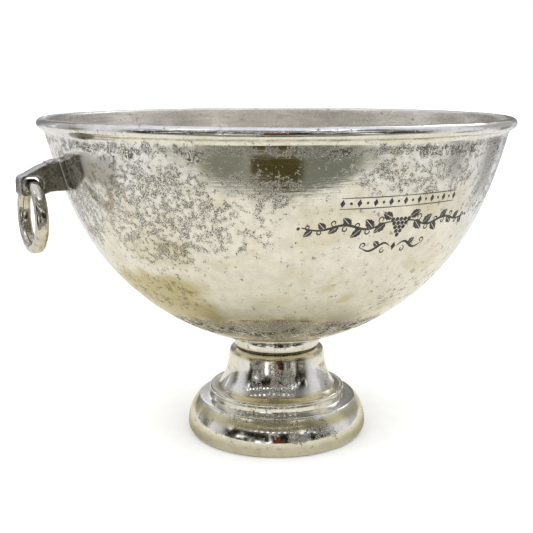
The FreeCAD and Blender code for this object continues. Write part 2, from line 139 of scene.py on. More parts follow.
# What the metal mirrors, by direction: (centre azimuth from the camera, centre elevation, width,
# height, edge softness, colour). The first entries lie under the later ones.
PANELS = [
    # grey room beyond the table's front edge, with a dark doorway in its middle
    (-28, -36, 28, 20, 5, (0.22, 0.22, 0.17)),
    (28, -37, 32, 21, 3, (0.185, 0.195, 0.155)),
    (56, -30, 20, 12, 6, (0.45, 0.44, 0.38)),
    (0, -38, 27, 16, 1.0, (0.060, 0.048, 0.012)),
    # strips of the darker room at the sides and behind
    (-104, 2, 14, 26, 5, (0.20, 0.19, 0.15)),
    (101, -24, 13, 20, 3, (0.34, 0.34, 0.34)),
    (134, -10, 14, 14, 4, (0.26, 0.25, 0.22)),
    (165, 12, 24, 30, 5, (0.22, 0.22, 0.21)),
    (-150, 15, 20, 36, 5, (0.24, 0.24, 0.25)),
    # lamps
    (-62, 58, 30, 14, 4, (1.9, 1.9, 2.0)),
    (44, 62, 34, 14, 4, (1.9, 1.9, 2.0)),
    (140, 40, 36, 24, 4, (1.8, 1.8, 1.9)),
]

ROOM_FLOOR = (0.30, 0.29, 0.24)
ROOM_LOW = (0.66, 0.64, 0.55)
ROOM_MIDDLE = (0.30, 0.29, 0.25)
CEILING = (0.20, 0.20, 0.195)
SKYLIGHT = (0.90, 0.93, 1.12)
SWEEP = (0.78, 0.79, 0.85)
# Furniture, goods and windows round the horizon, from dark to bright
CLUTTER = [(0.42, (0.010, 0.008, 0.005)), (0.50, (0.05, 0.046, 0.034)), (0.555, (0.22, 0.22, 0.20)),
           (0.61, (0.70, 0.72, 0.78)), (0.67, (1.7, 1.7, 1.75))]
# Where it stands: (centre azimuth from the camera, width, lowest and highest elevation, softness, share)
CLUTTER_BANDS = [(0, 142, -16.0, 26.0, 8, 1.0), (180, 150, -10.0, 32.0, 6, 0.45)]
# Azimuth, width and colour
RED_CHAIR = (1.0, 8.0, (0.16, 0.030, 0.012))
# Rows of small ceiling lamps: (elevation, size, spacing)
SPOTLIGHTS = [(29.0, 2.6, 8.0), (42.0, 3.0, 11.0)]
SPOTLIGHT_COLOR = (3.2, 3.2, 3.2, 1.0)
STUDIO_LIGHT = 1.9

TABLE = (0.93, 0.90, 0.805)
TABLE_EDGE_MM = 433.0
TABLE_SIDES_MM = (-1500, 620)
TABLE_BACK_MM = 2600
FLOOR_HALF_MM = 30000.0


def make_world():
    """White for the camera and for diffuse light; the metal mirrors a painted room."""
    world = bpy.data.worlds.new("studio")
    bpy.context.scene.world = world
    world.use_nodes = True
    world.cycles.sampling_method = "NONE"
    n = Nodes(world.node_tree)
    direction = n.add("ShaderNodeTexCoord", output=0)
    x, y, z = n.split(direction)
    to_degrees = 180 / math.pi
    azimuth = n.math("MULTIPLY", n.math("ARCTAN2", x, n.math("MULTIPLY", y, -1.0)), to_degrees)
    azimuth = n.math("WRAP", n.math("SUBTRACT", azimuth, CAMERA_AZIMUTH), 180.0, -180.0)
    elevation = n.math("MULTIPLY", n.math("ARCSINE", z), to_degrees)
    wobble = n.math("MULTIPLY_ADD", n.noise(direction, 4.0, 2.0), 3.0, -1.5)
    elevation = n.math("ADD", elevation, wobble)
    height = n.add("ShaderNodeMapRange", {"Value": elevation, "From Min": -90.0, "From Max": 90.0})
    stops = [(-90, ROOM_FLOOR), (-44, ROOM_FLOOR), (-34, ROOM_LOW), (-20, ROOM_MIDDLE),
             (10, ROOM_MIDDLE), (20, CEILING), (55, CEILING), (68, SKYLIGHT), (90, SKYLIGHT)]
    front = n.ramp(height, [((e + 90) / 180, c) for e, c in stops])
    stops = [(-90, TABLE), (-30, TABLE), (-10, SWEEP), (30, SWEEP), (90, SKYLIGHT)]
    behind = n.ramp(height, [((e + 90) / 180, c) for e, c in stops])
    rear = n.step(n.math("ABSOLUTE", azimuth), 52.0, 92.0)
    color = n.mix(rear, front, behind)

    def window(centre, middle, width, tall, soft):
        """1 in a soft-edged rectangle of directions, 0 outside."""
        across = n.math("ABSOLUTE", n.math("WRAP", n.math("SUBTRACT", azimuth, float(centre)),
                                           180.0, -180.0))
        along = n.math("ABSOLUTE", n.math("SUBTRACT", elevation, float(middle)))
        return n.math("MULTIPLY", n.step(across, width / 2 + soft, width / 2 - soft),
                      n.step(along, tall / 2 + soft, tall / 2 - soft))

    clutter = n.ramp(n.noise(n.scaled(direction, (1, 1, 0.5)), 4.2, 3.0, 0.55, 0.4), CLUTTER)
    for centre, width, low, high, soft, share in CLUTTER_BANDS:
        band = window(centre, (low + high) / 2, width, high - low, soft)
        color = n.mix(n.math("MULTIPLY", band, share), color, clutter)
    centre, width, tone = RED_CHAIR
    color = n.mix(window(centre, 2, width, 22, 2), color, (*tone, 1.0))
    for middle, size, spacing in SPOTLIGHTS:
        dots = n.step(n.math("PINGPONG", azimuth, spacing / 2), spacing / 2 - size, spacing / 2)
        dots = n.math("MULTIPLY", dots, window(-14, middle, 110, size, 0.6))
        color = n.mix(dots, color, SPOTLIGHT_COLOR)
    for centre, middle, width, tall, soft, tone in PANELS:
        color = n.mix(window(centre, middle, width, tall, soft), color, (*tone, 1.0))
    mirrored = n.add("ShaderNodeBackground", {"Color": color, "Strength": 1.0})
    lit = n.add("ShaderNodeBackground", {"Color": (1, 1, 1, 1), "Strength": STUDIO_LIGHT})
    seen = n.add("ShaderNodeBackground", {"Color": (1, 1, 1, 1), "Strength": 1.0})
    path = n.tree.nodes.new("ShaderNodeLightPath")
    shader = n.add("ShaderNodeMixShader", (path.outputs["Is Glossy Ray"], lit, mirrored))
    shader = n.add("ShaderNodeMixShader", (path.outputs["Is Camera Ray"], shader, seen))
    n.finish(shader, "ShaderNodeOutputWorld")


def plane(name, corners, height_mm):
    """A flat part of the studio, from four (x, y) corners in millimetres."""
    mesh = bpy.data.meshes.new(name)
    mesh.from_pydata([(x * MM, y * MM, height_mm * MM) for x, y in corners], [], [(0, 1, 2, 3)])
    sheet = bpy.data.objects.new(name, mesh)
    bpy.context.scene.collection.objects.link(sheet)
    return sheet


def make_floor():
    """The pale paper the camera sees. The metal mirrors the table instead."""
    half = FLOOR_HALF_MM
    floor = plane("floor", [(-half, -half), (half, -half), (half, half), (-half, half)], 0.0)
    material, n = new_material("floor_paper")
    grain = n.noise(n.add("ShaderNodeTexCoord", output=3), 60.0, 3.0)
    color = n.ramp(grain, [(0.3, (0.84, 0.84, 0.83)), (0.7, (0.86, 0.86, 0.85))])
    n.finish(n.add("ShaderNodeBsdfDiffuse", {"Color": color, "Roughness": 0.5}))
    floor.data.materials.append(material)
    floor.visible_glossy = False


def make_table():
    """A glowing card that only reflections see: the cream table top as the metal mirrors it. It ends in
    front of the object.
    """
    left, right = TABLE_SIDES_MM
    corners = [(left, -TABLE_EDGE_MM), (right, -TABLE_EDGE_MM), (right, TABLE_BACK_MM),
               (left, TABLE_BACK_MM)]
    table = plane("table_reflector", corners, -0.5)
    table.rotation_euler = (0, 0, math.radians(CAMERA_AZIMUTH))
    material, n = new_material("table_cream")
    place = n.add("ShaderNodeTexCoord", output=3)
    x, y, _ = n.split(place)
    away = n.math("SQRT", n.math("ADD", n.math("MULTIPLY", x, x), n.math("MULTIPLY", y, y)))
    cloth = n.noise(place, 5.0, 3.0)
    # Darker near the object's axis: a painted shadow of the bowl on the table
    color = n.ramp(away, [(0.07, (0.30, 0.27, 0.16)), (0.15, (0.80, 0.76, 0.64)), (0.25, TABLE),
                          (0.38, TABLE), (0.62, (0.90, 0.90, 0.93))])
    color = n.mix(n.math("MULTIPLY", n.step(cloth, 0.40, 0.65), 0.5), color, (0.80, 0.76, 0.63, 1))
    n.finish(n.add("ShaderNodeEmission", {"Color": color, "Strength": 1.0}))
    table.data.materials.append(material)
    table.visible_camera = False
    table.visible_diffuse = False
    table.visible_shadow = False
    table.visible_transmission = False


def new_material(name):
    """An empty material and its node writer."""
    material = bpy.data.materials.new(name)
    material.use_nodes = True
    return material, Nodes(material.node_tree)


# ---- outlines and turned meshes -------------------------------------------------------------------

def arc_points(start, end, radius, turn, spacing):
    """Points along the short arc from start to end, without the end; turn 1 is left, -1 right."""
    chord = end - start
    height = turn * math.sqrt(max(radius * radius - chord.length_squared / 4, 0.0))
    centre = (start + end) / 2 + Vector((-chord.y, chord.x)).normalized() * height
    first, last = start - centre, end - centre
    sweep = turn * first.angle(last)
    count = max(2, round(abs(sweep) * radius / spacing))
    return [centre + Matrix.Rotation(sweep * i / count, 2) @ first for i in range(count)]


def trace(corners, spacing, closed):
    """Evenly spaced points along an outline of (r, z) or (r, z, radius, turn) corners."""
    points = []
    pairs = zip(corners, corners[1:] + corners[:1] if closed else corners[1:])
    for corner, following in pairs:
        start, end = Vector(corner[:2]), Vector(following[:2])
        if len(corner) == 4:
            points += arc_points(start, end, corner[2], corner[3], spacing)
        else:
            count = max(1, round((end - start).length / spacing))
            points += [start.lerp(end, i / count) for i in range(count)]
    if not closed:
        points.append(Vector(corners[-1][:2]))
    return points


def eased(points, closed, rounds=6):
    """Round the outline's corners a little."""
    for _ in range(rounds):
        before, after = points[-1:] + points[:-1], points[1:] + points[:1]
        smooth = [(a + b * 2 + c) / 4 for a, b, c in zip(before, points, after)]
        if not closed:
            smooth[0], smooth[-1] = points[0], points[-1]
        points = smooth
    return points


def thinned(points, closed, longest, bend=5.0):
    """Keep the points that the outline's bends need, and no run longer than longest."""
    kept = [points[0]]
    turned_by = 0.0
    for before, point, after in zip(points, points[1:], points[2:] + points[:1]):
        first, second = point - before, after - point
        if first.length > 1e-6 and second.length > 1e-6:
            turned_by += abs(math.degrees(first.angle(second)))
        if turned_by > bend or (point - kept[-1]).length > longest:
            kept.append(point)
            turned_by = 0.0
    if not closed and kept[-1] is not points[-1]:
        kept.append(points[-1])
    return kept


def turned_mesh(name, outline, closed, segments, shift):
    """Turn an outline in millimetres about Z; shift(position) is an offset along the normal."""
    count = len(outline)
    vertices, rings = [], []
    for index, point in enumerate(outline):
        before = outline[index - 1] if closed or index else point
        after = outline[(index + 1) % count] if closed or index + 1 < count else point
        run = (after - before).normalized()
        normal = Vector((run.y, -run.x))
        on_axis = abs(point.x) < 1e-6
        ring = []
        for step in range(1 if on_axis else segments):
            angle = 2 * math.pi * step / segments
            across, along = math.cos(angle), math.sin(angle)
            place = Vector((point.x * across, point.x * along, point.y))
            out = Vector((normal.x * across, normal.x * along, normal.y))
            ring.append(len(vertices))
            vertices.append((place + out * shift(place)) * MM)
        rings.append(ring * segments if on_axis else ring)
    faces = []
    for index in range(count if closed else count - 1):
        low, high = rings[index], rings[(index + 1) % count]
        for step in range(segments):
            following = (step + 1) % segments
            corners = [low[step], low[following], high[following], high[step]]
            faces.append(list(dict.fromkeys(corners)))
    return new_piece(name, vertices, faces)


def new_piece(name, vertices, faces):
    """A smooth-shaded object with its edges over 40 degrees left sharp."""
    mesh = bpy.data.meshes.new(name)
    mesh.from_pydata([tuple(v) for v in vertices], [], faces)
    mesh.validate()
    mesh.shade_smooth()
    mesh.set_sharp_from_angle(angle=math.radians(40))
    piece = bpy.data.objects.new(name, mesh)
    bpy.context.scene.collection.objects.link(piece)
    return piece


# ---- bowl -----------------------------------------------------------------------------------------

ARC_CENTRE = Vector((-12.2, 283.0))
ARC_RADIUS = 201.4
UPPER_RADIUS = 406.0
BLEND_SLOPE = math.radians(68)
BLEND = Vector((math.sin(BLEND_SLOPE), -math.cos(BLEND_SLOPE)))
UPPER_CENTRE = ARC_CENTRE - BLEND * (UPPER_RADIUS - ARC_RADIUS)
WALL = 4.0
WALL_TOP_Z = 266.6
FLOOR_Z = 88.6
LIP_INNER_Z = 277.8
BEAD_CENTRE = Vector((195.5, 275.5))
BEAD_RADIUS = 4.5
BEAD_FOOT_R = 197.2
SEAT_Z = 78.2
NECK_RADIUS = 35.5
COLLAR_RADIUS = 36.6
BOWL_SEGMENTS = 360


def wall_radius(height, inset=0.0):
    """The wall's radius at a height, moved inwards by the inset."""
    if height < (ARC_CENTRE + BLEND * (ARC_RADIUS - inset)).y:
        centre, radius = ARC_CENTRE, ARC_RADIUS
    else:
        centre, radius = UPPER_CENTRE, UPPER_RADIUS
    return centre.x + math.sqrt((radius - inset) ** 2 - (centre.y - height) ** 2)


def bowl_corners():
    """The bowl's section, from the boss on its axis up the outside and down the inside."""
    blend = ARC_CENTRE + BLEND * ARC_RADIUS
    inner_blend = ARC_CENTRE + BLEND * (ARC_RADIUS - WALL)
    bead_foot_z = BEAD_CENTRE.y - math.sqrt(BEAD_RADIUS ** 2 - (BEAD_FOOT_R - BEAD_CENTRE.x) ** 2)
    bead_inner_r = BEAD_CENTRE.x - math.sqrt(BEAD_RADIUS ** 2 - (LIP_INNER_Z - BEAD_CENTRE.y) ** 2)
    collar_top_z = ARC_CENTRE.y - math.sqrt(ARC_RADIUS ** 2 - (COLLAR_RADIUS - ARC_CENTRE.x) ** 2)
    return [
        (0, 85.0), (4.05, 85.0), (4.05, 75.2), (12.0, 75.2), (12.0, SEAT_Z), (NECK_RADIUS, SEAT_Z),
        (NECK_RADIUS, 79.2), (37.7, 79.2, 20.0, 1), (37.9, 85.8, 2.6, 1),
        (COLLAR_RADIUS, collar_top_z, ARC_RADIUS, 1),
        (*blend, UPPER_RADIUS, 1), (wall_radius(WALL_TOP_Z), WALL_TOP_Z, 6.0, -1),
        (BEAD_FOOT_R, bead_foot_z, BEAD_RADIUS, 1),
        (BEAD_CENTRE.x, BEAD_CENTRE.y + BEAD_RADIUS, BEAD_RADIUS, 1),
        (bead_inner_r, LIP_INNER_Z, UPPER_RADIUS - WALL, -1),
        (*inner_blend, ARC_RADIUS - WALL, -1), (wall_radius(FLOOR_Z, WALL), FLOOR_Z), (0, FLOOR_Z),
    ]


def casting_waves(place, strength=1.0):
    """Gentle unevenness of a hand-finished casting, in millimetres."""
    slow = noise.noise(place / 62.0) * 0.26
    quick = noise.noise(place / 22.0 + Vector((9, 4, 2))) * 0.08
    return (slow + quick) * strength


def bowl_shift(place):
    """Casting waves and an uneven rim; none on the boss that seats on the foot."""
    if place.z < 92.0 and math.hypot(place.x, place.y) < 45.0:
        return 0.0
    rim = min(1.0, max(0.0, (place.z - 268.0) / 3.0))
    return casting_waves(place) + rim * noise.noise(place / 17.0) * 0.30


def make_bowl():
    outline = thinned(eased(trace(bowl_corners(), 0.4, False), False, 2), False, 2.6, 9.0)
    bowl = turned_mesh("bowl_shell", outline, False, BOWL_SEGMENTS, bowl_shift)
    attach(bowl, VESSEL)
    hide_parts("bowl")
    return bowl


# ---- foot -----------------------------------------------------------------------------------------

FOOT_SEGMENTS = 288


def foot_corners():
    """The foot's section: up the outside, across the seat, down the bolt hole and the hollow."""
    return [
        (70.0, 0), (75.1, 0, 9.5, 1), (79.5, 8.0, 34.0, 1), (69.7, 32.0), (59.9, 32.6),
        (59.5, 37.5, 1.3, 1), (56.6, 40.9), (52.0, 42.5, 47.0, -1), (43.2, 64.0),
        (42.0, 72.6, 4.2, 1), (39.2, 76.6), (NECK_RADIUS, SEAT_Z), (12.15, SEAT_Z), (12.15, 75.0),
        (4.5, 75.0), (4.5, 68.0), (33.0, 68.0), (38.6, 60.0), (46.0, 39.0), (54.0, 28.0),
        (64.0, 28.0, 20.0, -1), (71.5, 14.0),
    ]


def foot_shift(place):
    """Casting waves on the outside, none where the foot stands or the bowl sits on it."""
    if place.z < 2.0 or place.z > 76.8:
        return 0.0
    return casting_waves(place, 0.7 * min(1.0, (place.z - 2.0) / 6.0))


def make_foot():
    outline = thinned(eased(trace(foot_corners(), 0.3, True), True, 5), True, 1.5, 7.0)
    foot = turned_mesh("foot_pedestal", outline, True, FOOT_SEGMENTS, foot_shift)
    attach(foot, VESSEL)
    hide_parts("foot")
    return foot


# ---- rings and brackets ---------------------------------------------------------------------------

RING_MEAN_RADIUS = 24.2
RING_PIVOT = Vector((213.5, 0, 232.6))
RING_SEGMENTS = 160


def ring_section(width=10.0, height=8.5, radius=3.6, arc_steps=7):
    """Rounded rectangle about the bar's centre, as (along the ring's axis, outwards) offsets."""
    points = []
    for quarter in range(4):
        sign_x = 1 if quarter in (0, 3) else -1
        sign_y = 1 if quarter in (0, 1) else -1
        centre = Vector((sign_x * (width / 2 - radius), sign_y * (height / 2 - radius)))
        for step in range(arc_steps + 1):
            angle = math.radians(90 * (quarter + step / arc_steps))
            points.append(centre + Vector((math.cos(angle), math.sin(angle))) * radius)
    return points


def make_ring(name, side, node, body):
    """A loose ring at rest, hanging in its eye; side is 1 on the right and -1 on the left."""
    section = ring_section()
    centre = Vector((side * RING_PIVOT.x, 0, RING_PIVOT.z - RING_MEAN_RADIUS))
    vertices, faces = [], []
    for step in range(RING_SEGMENTS):
        angle = 2 * math.pi * step / RING_SEGMENTS
        outwards = Vector((0, math.sin(angle), math.cos(angle)))
        for along, out in section:
            place = centre + Vector((side * along, 0, 0)) + outwards * (RING_MEAN_RADIUS + out)
            worn = noise.noise(place / 9.0) * 0.10
            vertices.append((place + (outwards * out + Vector((side * along, 0, 0))).normalized() * worn)
                            * MM)
    size = len(section)
    for step in range(RING_SEGMENTS):
        following = (step + 1) % RING_SEGMENTS
        for index in range(size):
            after = (index + 1) % size
            face = [step * size + index, step * size + after,
                    following * size + after, following * size + index]
            faces.append(face if side < 0 else face[::-1])
    ring = new_piece(name, vertices, faces)
    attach(ring, body)
    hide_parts(node)
    return ring


# The upper lip of the eye, which is drawn down at its middle, and the plate's top, which carries flash
EYE_LIP_Z = (237.0, 240.5)
EYE_HALF_LENGTH = 7.4
EYE_HALF_WIDTH = 4.5
EYE_DRAFT = 0.6
FLASH_FROM_Z = 248.0
FLASH_INSIDE_R = 203.0
SKIN_VOXEL = 0.35


def make_bracket(name, node):
    """The CAD bracket as a fine mesh with a rough cast skin, a drafted eye and flash by the wall."""
    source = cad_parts[node]
    mesh = source.data.copy()
    mesh.transform(Matrix.Scale(1 / MM, 4) @ source.matrix_world)
    mesh.materials.clear()
    bracket = bpy.data.objects.new(name, mesh)
    bpy.context.scene.collection.objects.link(bracket)
    remesh = bracket.modifiers.new("skin", "REMESH")
    remesh.mode = "VOXEL"
    remesh.voxel_size = SKIN_VOXEL
    smooth = bracket.modifiers.new("soften", "SMOOTH")
    smooth.factor = 0.5
    smooth.iterations = 3
    graph = bpy.context.evaluated_depsgraph_get()
    skin = bpy.data.meshes.new_from_object(bracket.evaluated_get(graph))
    bracket.modifiers.clear()
    bracket.data = skin
    skin.name = name
    normals = [vertex.normal.copy() for vertex in skin.vertices]
    lip_low, lip_high = EYE_LIP_Z
    for vertex, normal in zip(skin.vertices, normals):
        rough = noise.noise(vertex.co / 2.2) * 0.14
        rough += noise.noise(vertex.co / 6.0 + Vector((3, 1, 7))) * 0.12
        vertex.co += normal * (rough - 0.05)
        along_eye = abs(abs(vertex.co.x) - RING_PIVOT.x)
        if lip_low < vertex.co.z < lip_high and along_eye < EYE_HALF_LENGTH:
            waist = max(0.0, 1.0 - (vertex.co.y / EYE_HALF_WIDTH) ** 2)
            vertex.co.z -= EYE_DRAFT * waist * min(1.0, lip_high - vertex.co.z)
        if vertex.co.z > FLASH_FROM_Z and abs(vertex.co.x) < FLASH_INSIDE_R:
            vertex.co.z += max(0.0, noise.noise(vertex.co / 1.5)) * 2.2
    skin.transform(Matrix.Scale(MM, 4))
    skin.shade_smooth()
    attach(bracket, VESSEL)
    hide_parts(node)
    return bracket


# ---- wear on the bowl -----------------------------------------------------------------------------

# Pitted patches: (azimuth, height in mm, half width in degrees, half height in mm, amount)
PATCHES = [
    (-60, 216, 22, 44, 0.70), (-33, 236, 9, 15, 0.62), (-88, 222, 9, 40, 0.9),
    (-38, 208, 8, 22, 0.45), (8, 246, 24, 16, 0.62), (34, 236, 14, 34, 0.56), (-30, 115, 60, 11, 1.35),
    (20, 150, 22, 20, 0.35), (-70, 150, 20, 16, 0.45), (78, 228, 24, 38, 0.8), (128, 200, 20, 48, 0.9),
    (176, 238, 26, 22, 0.7), (-140, 214, 24, 40, 0.9), (-112, 240, 12, 20, 0.6), (130, 114, 100, 10, 1.2),
    (-130, 114, 44, 10, 1.2),
]


def wear_at(place):
    """How densely the plating is pitted at a place on the bowl's outside, 0 to 1."""
    azimuth = math.degrees(math.atan2(place.x, -place.y))
    amount = 0.12
    for centre, height, width, tall, strength in PATCHES:
        across = ((azimuth - centre + 180) % 360 - 180) / width
        near = max(0.0, 1.25 - math.hypot(across, (place.z - height) / tall))
        amount = max(amount, strength * min(1.0, near * 2.0))
    amount = max(amount, 0.95 * (1 - abs(place.z - 264.0) / 6.0))
    ragged = noise.noise(place / 14.0) * 0.5 + noise.noise(place / 5.0) * 0.3
    return min(1.0, max(0.0, amount * (1.0 + ragged)))


# Tarnished areas of the bowl: (azimuth, height in mm, half width in degrees, half height, amount)
STAINS = [
    (-18, 212, 8, 15, 0.30), (11, 221, 11, 12, 0.34), (-72, 144, 24, 26, 0.95), (-62, 186, 12, 12, 0.35),
    (-8, 150, 3, 6, 0.5), (-15, 160, 2, 4, 0.4), (60, 140, 20, 22, 0.5),
    (120, 150, 22, 26, 0.6), (-150, 150, 26, 24, 0.5), (-170, 222, 14, 14, 0.3),
]


def patch_at(place, patches):
    """The strongest patch at a place on the wall, with ragged soft edges."""
    azimuth = math.degrees(math.atan2(place.x, -place.y))
    ragged = noise.noise(place / 16.0) * 0.35
    amount = 0.0
    for centre, height, width, tall, strength in patches:
        across = abs((azimuth - centre + 180) % 360 - 180) / width
        near = 1.0 + ragged - max(across, abs(place.z - height) / tall)
        amount = max(amount, strength * min(1.0, max(0.0, near / 0.35)))
    return amount


def mark(piece, name, values):
    """Store one number per vertex under a name that materials can read."""
    layer = piece.data.attributes.new(name, "FLOAT", "POINT")
    layer.data.foreach_set("value", values)


# Deep crooked pits, where the sand stuck: (azimuth, height, half width in degrees, half height, amount)
GNARLS = [(-30, 114, 70, 8, 1.0), (130, 114, 110, 8, 1.0), (-56, 259, 14, 5, 0.8), (-80, 262, 10, 4, 0.6),
          (4, 262, 30, 5, 0.7), (33, 257, 6, 9, 0.9), (100, 250, 20, 12, 0.7), (-140, 256, 24, 8, 0.7)]

# Beside the brackets: smoother metal that mirrors the rings, and dull metal above it
BRIGHT_SPOTS = [(-74, 218, 12, 16, 0.07), (74, 218, 12, 16, 0.07)]
DULL_SPOTS = [(-73.5, 246, 7, 13, 0.40), (73.5, 246, 7, 13, 0.40)]
# Water marks inside, under the rim
WATER_MARKS = [(152, 268, 52, 30, 0.22), (-60, 250, 30, 14, 0.12)]


def mark_bowl(bowl):
    """Write the marks that the bowl's material reads."""
    wear, inside, tarnish_and_reflection, gnarl, dull, matt = [], [], [], [], [], []
    for vertex in bowl.data.vertices:
        place = vertex.co / MM
        radius = math.hypot(place.x, place.y)
        within = FLOOR_Z - 1 < place.z < 279 and radius < wall_radius(min(place.z, 272.0), WALL * 0.5)
        inside.append(1.0 if within else 0.0)
        wear.append(0.15 if within else wear_at(place))
        tarnish_and_reflection.append(0.0 if within else patch_at(place, STAINS))
        gnarl.append(0.0 if within else patch_at(place, GNARLS))
        dull.append(0.0 if within else patch_at(place, DULL_SPOTS) - patch_at(place, BRIGHT_SPOTS))
        matt.append(0.10 + patch_at(place, WATER_MARKS) if within else 0.0)
    mark(bowl, "wear", wear)
    mark(bowl, "inside", inside)
    mark(bowl, "tarnish_and_reflection", tarnish_and_reflection)
    mark(bowl, "gnarl", gnarl)
    mark(bowl, "dull", dull)
    mark(bowl, "matt", matt)


# On the foot: pitted patches as on the bowl, and on each step a band of painted reflection, the olive
# of the bowl's shaded underside mirrored there: (height, half height, amount)
FOOT_PATCHES = [(-20, 55, 12, 14, 1.0), (-33, 56, 6, 16, 1.0), (-52, 60, 9, 14, 0.8), (-8, 20, 20, 8, 0.7),
                (-35, 30, 40, 4, 0.5), (40, 50, 14, 18, 0.7), (110, 30, 30, 16, 0.7),
                (-150, 55, 20, 16, 0.8), (180, 20, 24, 12, 0.5), (90, 62, 12, 8, 0.6)]
FOOT_REFLECTION_BANDS = [(74.6, 3.0, 0.75), (42.8, 2.4, 0.65), (27.0, 4.2, 0.95), (12.0, 5.0, 0.12)]


def mark_foot(foot):
    """Write the marks that the foot's material reads."""
    wear, tarnish_and_reflection = [], []
    for vertex in foot.data.vertices:
        place = vertex.co / MM
        ragged = noise.noise(place / 12.0) * 0.8
        wear.append(max(0.12, patch_at(place, FOOT_PATCHES)))
        # Each band is painted reflection: the olive of the bowl's shaded underside, mirrored on the step
        dull = [amount * min(1.0, max(0.0, 1.5 + ragged * 0.5 - abs(place.z - height) / half * 1.2))
                for height, half, amount in FOOT_REFLECTION_BANDS]
        tarnish_and_reflection.append(max(dull))
    mark(foot, "wear", wear)
    mark(foot, "tarnish_and_reflection", tarnish_and_reflection)


# ---- materials ------------------------------------------------------------------------------------

# Dark grime in the pits, and also the painted shade in corners and creases
GRIME_AND_SHADE = (0.13, 0.12, 0.08, 1)
# Olive: tarnish on the bowl, and on the foot the painted reflection of the bowl's shaded underside
TARNISH_AND_REFLECTION = (0.62, 0.55, 0.32, 1)
SOOT = (0.035, 0.028, 0.012, 1)
# Painted highlight on edges, where the plating is also worn bright
EDGE_WEAR_AND_HIGHLIGHT = (0.97, 0.96, 0.93, 1)
# Painted highlight on tops that face up
TOP_HIGHLIGHT = (0.92, 0.90, 0.86, 1)
INSIDE = (0.70, 0.65, 0.57, 1)
BRUSHED = (0.40, 0.36, 0.30, 1)


def shaded(tint, share):
    """The tint, darkened to a share of itself, as a colour socket takes it."""
    return tuple(value * share for value in tint) + (1,)


def pitting(n, place, amount, scale):
    """Pits, and rough specks that glint, each 0 to 1, and the field that says where they gather."""
    gather = n.noise(place, scale * 0.38, 3.0, 0.6)
    gather = n.math("SUBTRACT", gather, n.math("MULTIPLY_ADD", amount, -0.29, 0.70))
    worm = n.noise(place, scale, 2.0, 0.6, 0.7)
    line = n.step(n.math("ABSOLUTE", n.math("SUBTRACT", worm, 0.5)), 0.0, 0.042, 1.0, 0.0)
    line = n.math("MULTIPLY", line, n.step(gather, -0.02, 0.05))
    specks = n.step(n.noise(place, scale * 2.4, 1.0), 0.58, 0.66)
    specks = n.math("MULTIPLY", specks, n.step(gather, -0.08, 0.02))
    glints = n.step(n.noise(place, scale * 1.7, 1.0), 0.55, 0.62)
    glints = n.math("MULTIPLY", glints, n.step(gather, -0.10, 0.02))
    return n.math("MAXIMUM", line, specks, clamp=True), glints, gather


def deep_pits(n, place):
    """Crooked deep pits, 0 to 1, where the piece is marked for them."""
    knot = n.noise(place, 130.0, 2.0, 0.6, 1.2)
    knot = n.step(n.math("ABSOLUTE", n.math("SUBTRACT", knot, 0.5)), 0.018, 0.060, 1.0, 0.0)
    knot = n.math("MULTIPLY", knot, n.step(n.noise(place, 55.0, 2.0), 0.44, 0.54))
    return n.math("MULTIPLY", knot, n.attribute("gnarl"))


